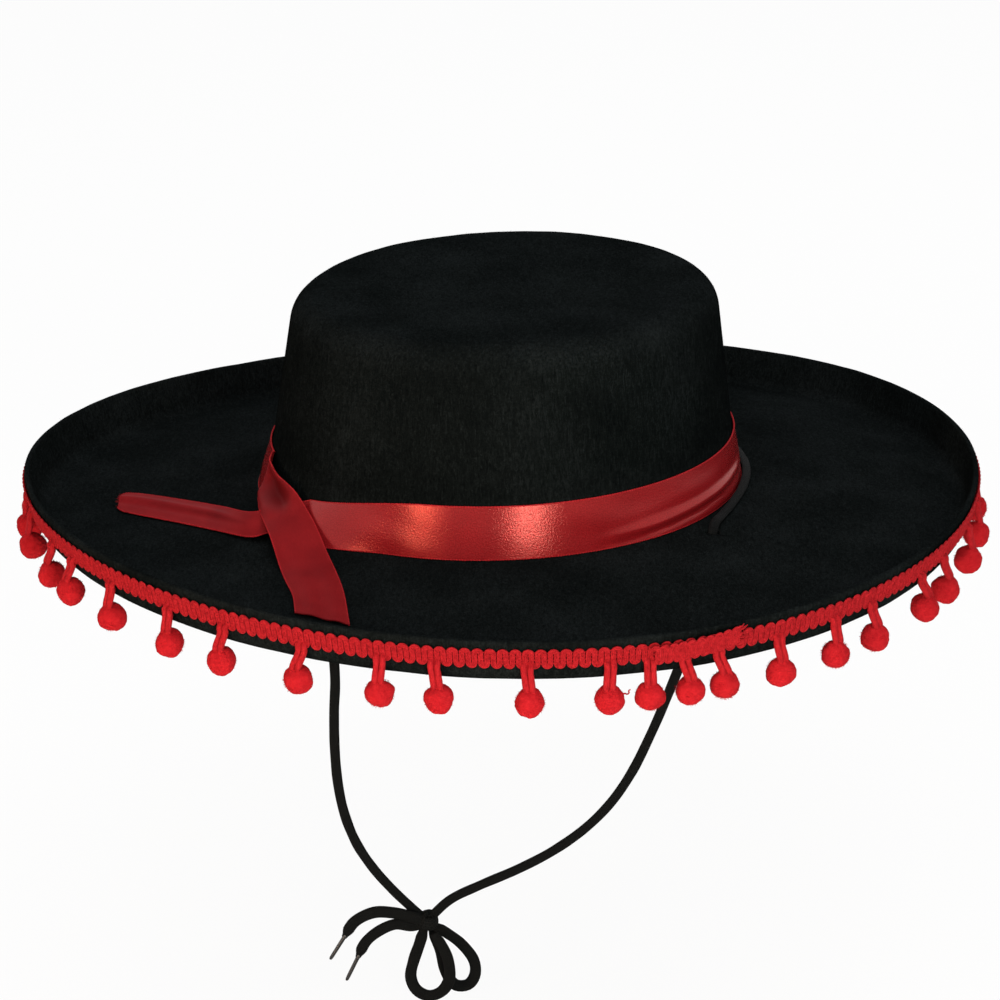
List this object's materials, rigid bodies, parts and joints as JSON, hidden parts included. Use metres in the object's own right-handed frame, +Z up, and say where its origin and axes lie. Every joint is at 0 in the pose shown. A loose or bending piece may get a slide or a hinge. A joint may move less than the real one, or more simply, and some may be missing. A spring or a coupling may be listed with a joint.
{
  "type": "wide-brimmed pompom hat",
  "caption": "Flat-crowned wide-brimmed black felt hat with upturned rim, red ribbon band, braid, hanging pompoms and a chin lace tied in a bow.",
  "frame": {"origin": "middle of the head opening, level with the underside of the brim where it meets the crown", "axes": "+Z up out of the crown, -Y the front, +X the side that is on the right when the front is seen"},
  "size_m": [0.3889, 0.3903, 0.2708],
  "materials": {
    "black_felt": "brushed wool felt",
    "sweatband_tape": "ribbed grosgrain",
    "red_satin": "satin ribbon",
    "red_braid": "woven gimp braid",
    "red_pompom": "fuzzy yarn",
    "black_lace": "woven flat lace",
    "black_aglet": "glossy"
  },
  "bodies": {
    "hat": {"felt_body": "black_felt", "sweatband": "sweatband_tape", "ribbon_band": "red_satin", "ribbon_crossing": "red_satin", "braid": "red_braid", "braid_end": "red_braid", "lace_round_crown": "black_lace"},
    "ribbon_tail_left": {"ribbon_tail_left": "red_satin"},
    "ribbon_tail_front": {"ribbon_tail_front": "red_satin"},
    "chin_lace": {"lace_left": "black_lace", "lace_right": "black_lace", "bow_loops": "black_lace", "bow_knot": "black_lace", "aglet_left": "black_aglet", "aglet_right": "black_aglet"},
    "pompom_01": {"pompom_01": "red_pompom"},
    "pompom_02": {"pompom_02": "red_pompom"},
    "pompom_03": {"pompom_03": "red_pompom"},
    "pompom_04": {"pompom_04": "red_pompom"},
    "pompom_05": {"pompom_05": "red_pompom"},
    "pompom_06": {"pompom_06": "red_pompom"},
    "pompom_07": {"pompom_07": "red_pompom"},
    "pompom_08": {"pompom_08": "red_pompom"},
    "pompom_09": {"pompom_09": "red_pompom"},
    "pompom_10": {"pompom_10": "red_pompom"},
    "pompom_11": {"pompom_11": "red_pompom"},
    "pompom_12": {"pompom_12": "red_pompom"},
    "pompom_13": {"pompom_13": "red_pompom"},
    "pompom_14": {"pompom_14": "red_pompom"},
    "pompom_15": {"pompom_15": "red_pompom"},
    "pompom_16": {"pompom_16": "red_pompom"},
    "pompom_17": {"pompom_17": "red_pompom"},
    "pompom_18": {"pompom_18": "red_pompom"},
    "pompom_19": {"pompom_19": "red_pompom"},
    "pompom_20": {"pompom_20": "red_pompom"},
    "pompom_21": {"pompom_21": "red_pompom"},
    "pompom_22": {"pompom_22": "red_pompom"},
    "pompom_23": {"pompom_23": "red_pompom"},
    "pompom_24": {"pompom_24": "red_pompom"},
    "pompom_25": {"pompom_25": "red_pompom"},
    "pompom_26": {"pompom_26": "red_pompom"},
    "pompom_27": {"pompom_27": "red_pompom"},
    "pompom_28": {"pompom_28": "red_pompom"},
    "pompom_29": {"pompom_29": "red_pompom"},
    "pompom_30": {"pompom_30": "red_pompom"},
    "pompom_31": {"pompom_31": "red_pompom"},
    "pompom_32": {"pompom_32": "red_pompom"},
    "pompom_33": {"pompom_33": "red_pompom"},
    "pompom_34": {"pompom_34": "red_pompom"},
    "pompom_35": {"pompom_35": "red_pompom"},
    "pompom_36": {"pompom_36": "red_pompom"},
    "pompom_37": {"pompom_37": "red_pompom"},
    "pompom_38": {"pompom_38": "red_pompom"},
    "pompom_39": {"pompom_39": "red_pompom"},
    "pompom_40": {"pompom_40": "red_pompom"},
    "pompom_41": {"pompom_41": "red_pompom"},
    "pompom_42": {"pompom_42": "red_pompom"},
    "pompom_43": {"pompom_43": "red_pompom"},
    "pompom_44": {"pompom_44": "red_pompom"}
  },
  "joints": [
    {"name": "chin_lace_swing", "type": "hinge", "parent": "hat", "child": "chin_lace", "pos_m": [0.00195, -0.0762, -0.0046], "axis": [0.999, 0.0449, 0], "range_deg": [-70, 70]},
    {"name": "ribbon_tail_left_lift", "type": "hinge", "parent": "hat", "child": "ribbon_tail_left", "pos_m": [-0.0985, -0.0493, 0.0034], "axis": [-0.0735, 0.9972, 0.0105], "range_deg": [0, 60]},
    {"name": "ribbon_tail_front_lift", "type": "hinge", "parent": "hat", "child": "ribbon_tail_front", "pos_m": [-0.0759, -0.0886, 0.00088], "axis": [-0.9408, -0.3244, -0.0978], "range_deg": [0, 60]},
    {"name": "pompom_01_swing", "type": "hinge", "parent": "hat", "child": "pompom_01", "pos_m": [-0.18899, 0.00609, 0.00461], "axis": [0.0378, 0.9993, 0], "range_deg": [-4, 80]},
    {"name": "pompom_02_swing", "type": "hinge", "parent": "hat", "child": "pompom_02", "pos_m": [-0.18839, -0.01521, 0.00454], "axis": [-0.0943, 0.9955, 0], "range_deg": [-4, 80]},
    {"name": "pompom_03_swing", "type": "hinge", "parent": "hat", "child": "pompom_03", "pos_m": [-0.18426, -0.03934, 0.0041], "axis": [-0.2412, 0.9705, 0], "range_deg": [-4, 80]},
    {"name": "pompom_04_swing", "type": "hinge", "parent": "hat", "child": "pompom_04", "pos_m": [-0.17276, -0.07149, 0.0029], "axis": [-0.4268, 0.9044, 0], "range_deg": [-4, 80]},
    {"name": "pompom_05_swing", "type": "hinge", "parent": "hat", "child": "pompom_05", "pos_m": [-0.16378, -0.08823, 0.002], "axis": [-0.5171, 0.8559, 0], "range_deg": [-4, 80]},
    {"name": "pompom_06_swing", "type": "hinge", "parent": "hat", "child": "pompom_06", "pos_m": [-0.14697, -0.11187, 0.00042], "axis": [-0.6371, 0.7708, 0], "range_deg": [-4, 80]},
    {"name": "pompom_07_swing", "type": "hinge", "parent": "hat", "child": "pompom_07", "pos_m": [-0.12407, -0.13551, -0.00153], "axis": [-0.7492, 0.6624, 0], "range_deg": [-4, 80]},
    {"name": "pompom_08_swing", "type": "hinge", "parent": "hat", "child": "pompom_08", "pos_m": [-0.103, -0.15196, -0.00312], "axis": [-0.824, 0.5665, 0], "range_deg": [-4, 80]},
    {"name": "pompom_09_swing", "type": "hinge", "parent": "hat", "child": "pompom_09", "pos_m": [-0.07389, -0.16887, -0.00499], "axis": [-0.9003, 0.4352, 0], "range_deg": [-4, 80]},
    {"name": "pompom_10_swing", "type": "hinge", "parent": "hat", "child": "pompom_10", "pos_m": [-0.04575, -0.18013, -0.00644], "axis": [-0.9523, 0.305, 0], "range_deg": [-4, 80]},
    {"name": "pompom_11_swing", "type": "hinge", "parent": "hat", "child": "pompom_11", "pos_m": [-0.02632, -0.18534, -0.00724], "axis": [-0.9774, 0.2113, 0], "range_deg": [-4, 80]},
    {"name": "pompom_12_swing", "type": "hinge", "parent": "hat", "child": "pompom_12", "pos_m": [0.0066, -0.18961, -0.00821], "axis": [-0.9991, 0.0427, 0], "range_deg": [-4, 80]},
    {"name": "pompom_13_swing", "type": "hinge", "parent": "hat", "child": "pompom_13", "pos_m": [0.03608, -0.18849, -0.00866], "axis": [-0.9928, -0.1201, 0], "range_deg": [-4, 80]},
    {"name": "pompom_14_swing", "type": "hinge", "parent": "hat", "child": "pompom_14", "pos_m": [0.05022, -0.18618, -0.00874], "axis": [-0.9794, -0.202, 0], "range_deg": [-4, 80]},
    {"name": "pompom_15_swing", "type": "hinge", "parent": "hat", "child": "pompom_15", "pos_m": [0.06281, -0.18308, -0.00874], "axis": [-0.9609, -0.2768, 0], "range_deg": [-4, 80]},
    {"name": "pompom_16_swing", "type": "hinge", "parent": "hat", "child": "pompom_16", "pos_m": [0.07511, -0.17901, -0.00867], "axis": [-0.9364, -0.3511, 0], "range_deg": [-4, 80]},
    {"name": "pompom_17_swing", "type": "hinge", "parent": "hat", "child": "pompom_17", "pos_m": [0.0974, -0.16868, -0.00838], "axis": [-0.873, -0.4876, 0], "range_deg": [-4, 80]},
    {"name": "pompom_18_swing", "type": "hinge", "parent": "hat", "child": "pompom_18", "pos_m": [0.11901, -0.15424, -0.00788], "axis": [-0.7849, -0.6196, 0], "range_deg": [-4, 80]},
    {"name": "pompom_19_swing", "type": "hinge", "parent": "hat", "child": "pompom_19", "pos_m": [0.13372, -0.14115, -0.00742], "axis": [-0.7069, -0.7073, 0], "range_deg": [-4, 80]},
    {"name": "pompom_20_swing", "type": "hinge", "parent": "hat", "child": "pompom_20", "pos_m": [0.15491, -0.11544, -0.00659], "axis": [-0.5611, -0.8278, 0], "range_deg": [-4, 80]},
    {"name": "pompom_21_swing", "type": "hinge", "parent": "hat", "child": "pompom_21", "pos_m": [0.1654, -0.09797, -0.00611], "axis": [-0.4677, -0.8839, 0], "range_deg": [-4, 80]},
    {"name": "pompom_22_swing", "type": "hinge", "parent": "hat", "child": "pompom_22", "pos_m": [0.17881, -0.06613, -0.00542], "axis": [-0.3075, -0.9515, 0], "range_deg": [-4, 80]},
    {"name": "pompom_23_swing", "type": "hinge", "parent": "hat", "child": "pompom_23", "pos_m": [0.18564, -0.03886, -0.00504], "axis": [-0.1781, -0.984, 0], "range_deg": [-4, 80]},
    {"name": "pompom_24_swing", "type": "hinge", "parent": "hat", "child": "pompom_24", "pos_m": [0.18885, -0.01067, -0.00485], "axis": [-0.0486, -0.9988, 0], "range_deg": [-4, 80]},
    {"name": "pompom_25_swing", "type": "hinge", "parent": "hat", "child": "pompom_25", "pos_m": [0.1882, 0.01996, -0.00489], "axis": [0.091, -0.9959, 0], "range_deg": [-4, 80]},
    {"name": "pompom_26_swing", "type": "hinge", "parent": "hat", "child": "pompom_26", "pos_m": [0.1833, 0.05004, -0.00517], "axis": [0.2305, -0.9731, 0], "range_deg": [-4, 80]},
    {"name": "pompom_27_swing", "type": "hinge", "parent": "hat", "child": "pompom_27", "pos_m": [0.17426, 0.07876, -0.00566], "axis": [0.3697, -0.9292, 0], "range_deg": [-4, 80]},
    {"name": "pompom_28_swing", "type": "hinge", "parent": "hat", "child": "pompom_28", "pos_m": [0.16128, 0.10535, -0.0063], "axis": [0.5066, -0.8622, 0], "range_deg": [-4, 80]},
    {"name": "pompom_29_swing", "type": "hinge", "parent": "hat", "child": "pompom_29", "pos_m": [0.14466, 0.12911, -0.00702], "axis": [0.6374, -0.7705, 0], "range_deg": [-4, 80]},
    {"name": "pompom_30_swing", "type": "hinge", "parent": "hat", "child": "pompom_30", "pos_m": [0.12478, 0.14947, -0.00771], "axis": [0.7563, -0.6543, 0], "range_deg": [-4, 80]},
    {"name": "pompom_31_swing", "type": "hinge", "parent": "hat", "child": "pompom_31", "pos_m": [0.10207, 0.16597, -0.00829], "axis": [0.8564, -0.5163, 0], "range_deg": [-4, 80]},
    {"name": "pompom_32_swing", "type": "hinge", "parent": "hat", "child": "pompom_32", "pos_m": [0.07706, 0.17826, -0.00866], "axis": [0.9318, -0.363, 0], "range_deg": [-4, 80]},
    {"name": "pompom_33_swing", "type": "hinge", "parent": "hat", "child": "pompom_33", "pos_m": [0.05031, 0.18616, -0.00874], "axis": [0.9793, -0.2025, 0], "range_deg": [-4, 80]},
    {"name": "pompom_34_swing", "type": "hinge", "parent": "hat", "child": "pompom_34", "pos_m": [0.02242, 0.18961, -0.0085], "axis": [0.9991, -0.0433, 0], "range_deg": [-4, 80]},
    {"name": "pompom_35_swing", "type": "hinge", "parent": "hat", "child": "pompom_35", "pos_m": [-0.00597, 0.18865, -0.00789], "axis": [0.9941, 0.1087, 0], "range_deg": [-4, 80]},
    {"name": "pompom_36_swing", "type": "hinge", "parent": "hat", "child": "pompom_36", "pos_m": [-0.03423, 0.18346, -0.00693], "axis": [0.9683, 0.2499, 0], "range_deg": [-4, 80]},
    {"name": "pompom_37_swing", "type": "hinge", "parent": "hat", "child": "pompom_37", "pos_m": [-0.06172, 0.17431, -0.00566], "axis": [0.9252, 0.3795, 0], "range_deg": [-4, 80]},
    {"name": "pompom_38_swing", "type": "hinge", "parent": "hat", "child": "pompom_38", "pos_m": [-0.08781, 0.16152, -0.00414], "axis": [0.8671, 0.4982, 0], "range_deg": [-4, 80]},
    {"name": "pompom_39_swing", "type": "hinge", "parent": "hat", "child": "pompom_39", "pos_m": [-0.11192, 0.1455, -0.00247], "axis": [0.7948, 0.6068, 0], "range_deg": [-4, 80]},
    {"name": "pompom_40_swing", "type": "hinge", "parent": "hat", "child": "pompom_40", "pos_m": [-0.1335, 0.12665, -0.00076], "axis": [0.708, 0.7062, 0], "range_deg": [-4, 80]},
    {"name": "pompom_41_swing", "type": "hinge", "parent": "hat", "child": "pompom_41", "pos_m": [-0.15207, 0.10545, 0.00089], "axis": [0.6053, 0.796, 0], "range_deg": [-4, 80]},
    {"name": "pompom_42_swing", "type": "hinge", "parent": "hat", "child": "pompom_42", "pos_m": [-0.1672, 0.08233, 0.00234], "axis": [0.4858, 0.8741, 0], "range_deg": [-4, 80]},
    {"name": "pompom_43_swing", "type": "hinge", "parent": "hat", "child": "pompom_43", "pos_m": [-0.17855, 0.05776, 0.00349], "axis": [0.3494, 0.937, 0], "range_deg": [-4, 80]},
    {"name": "pompom_44_swing", "type": "hinge", "parent": "hat", "child": "pompom_44", "pos_m": [-0.18587, 0.0322, 0.00427], "axis": [0.1983, 0.9801, 0], "range_deg": [-4, 80]}
  ]
}
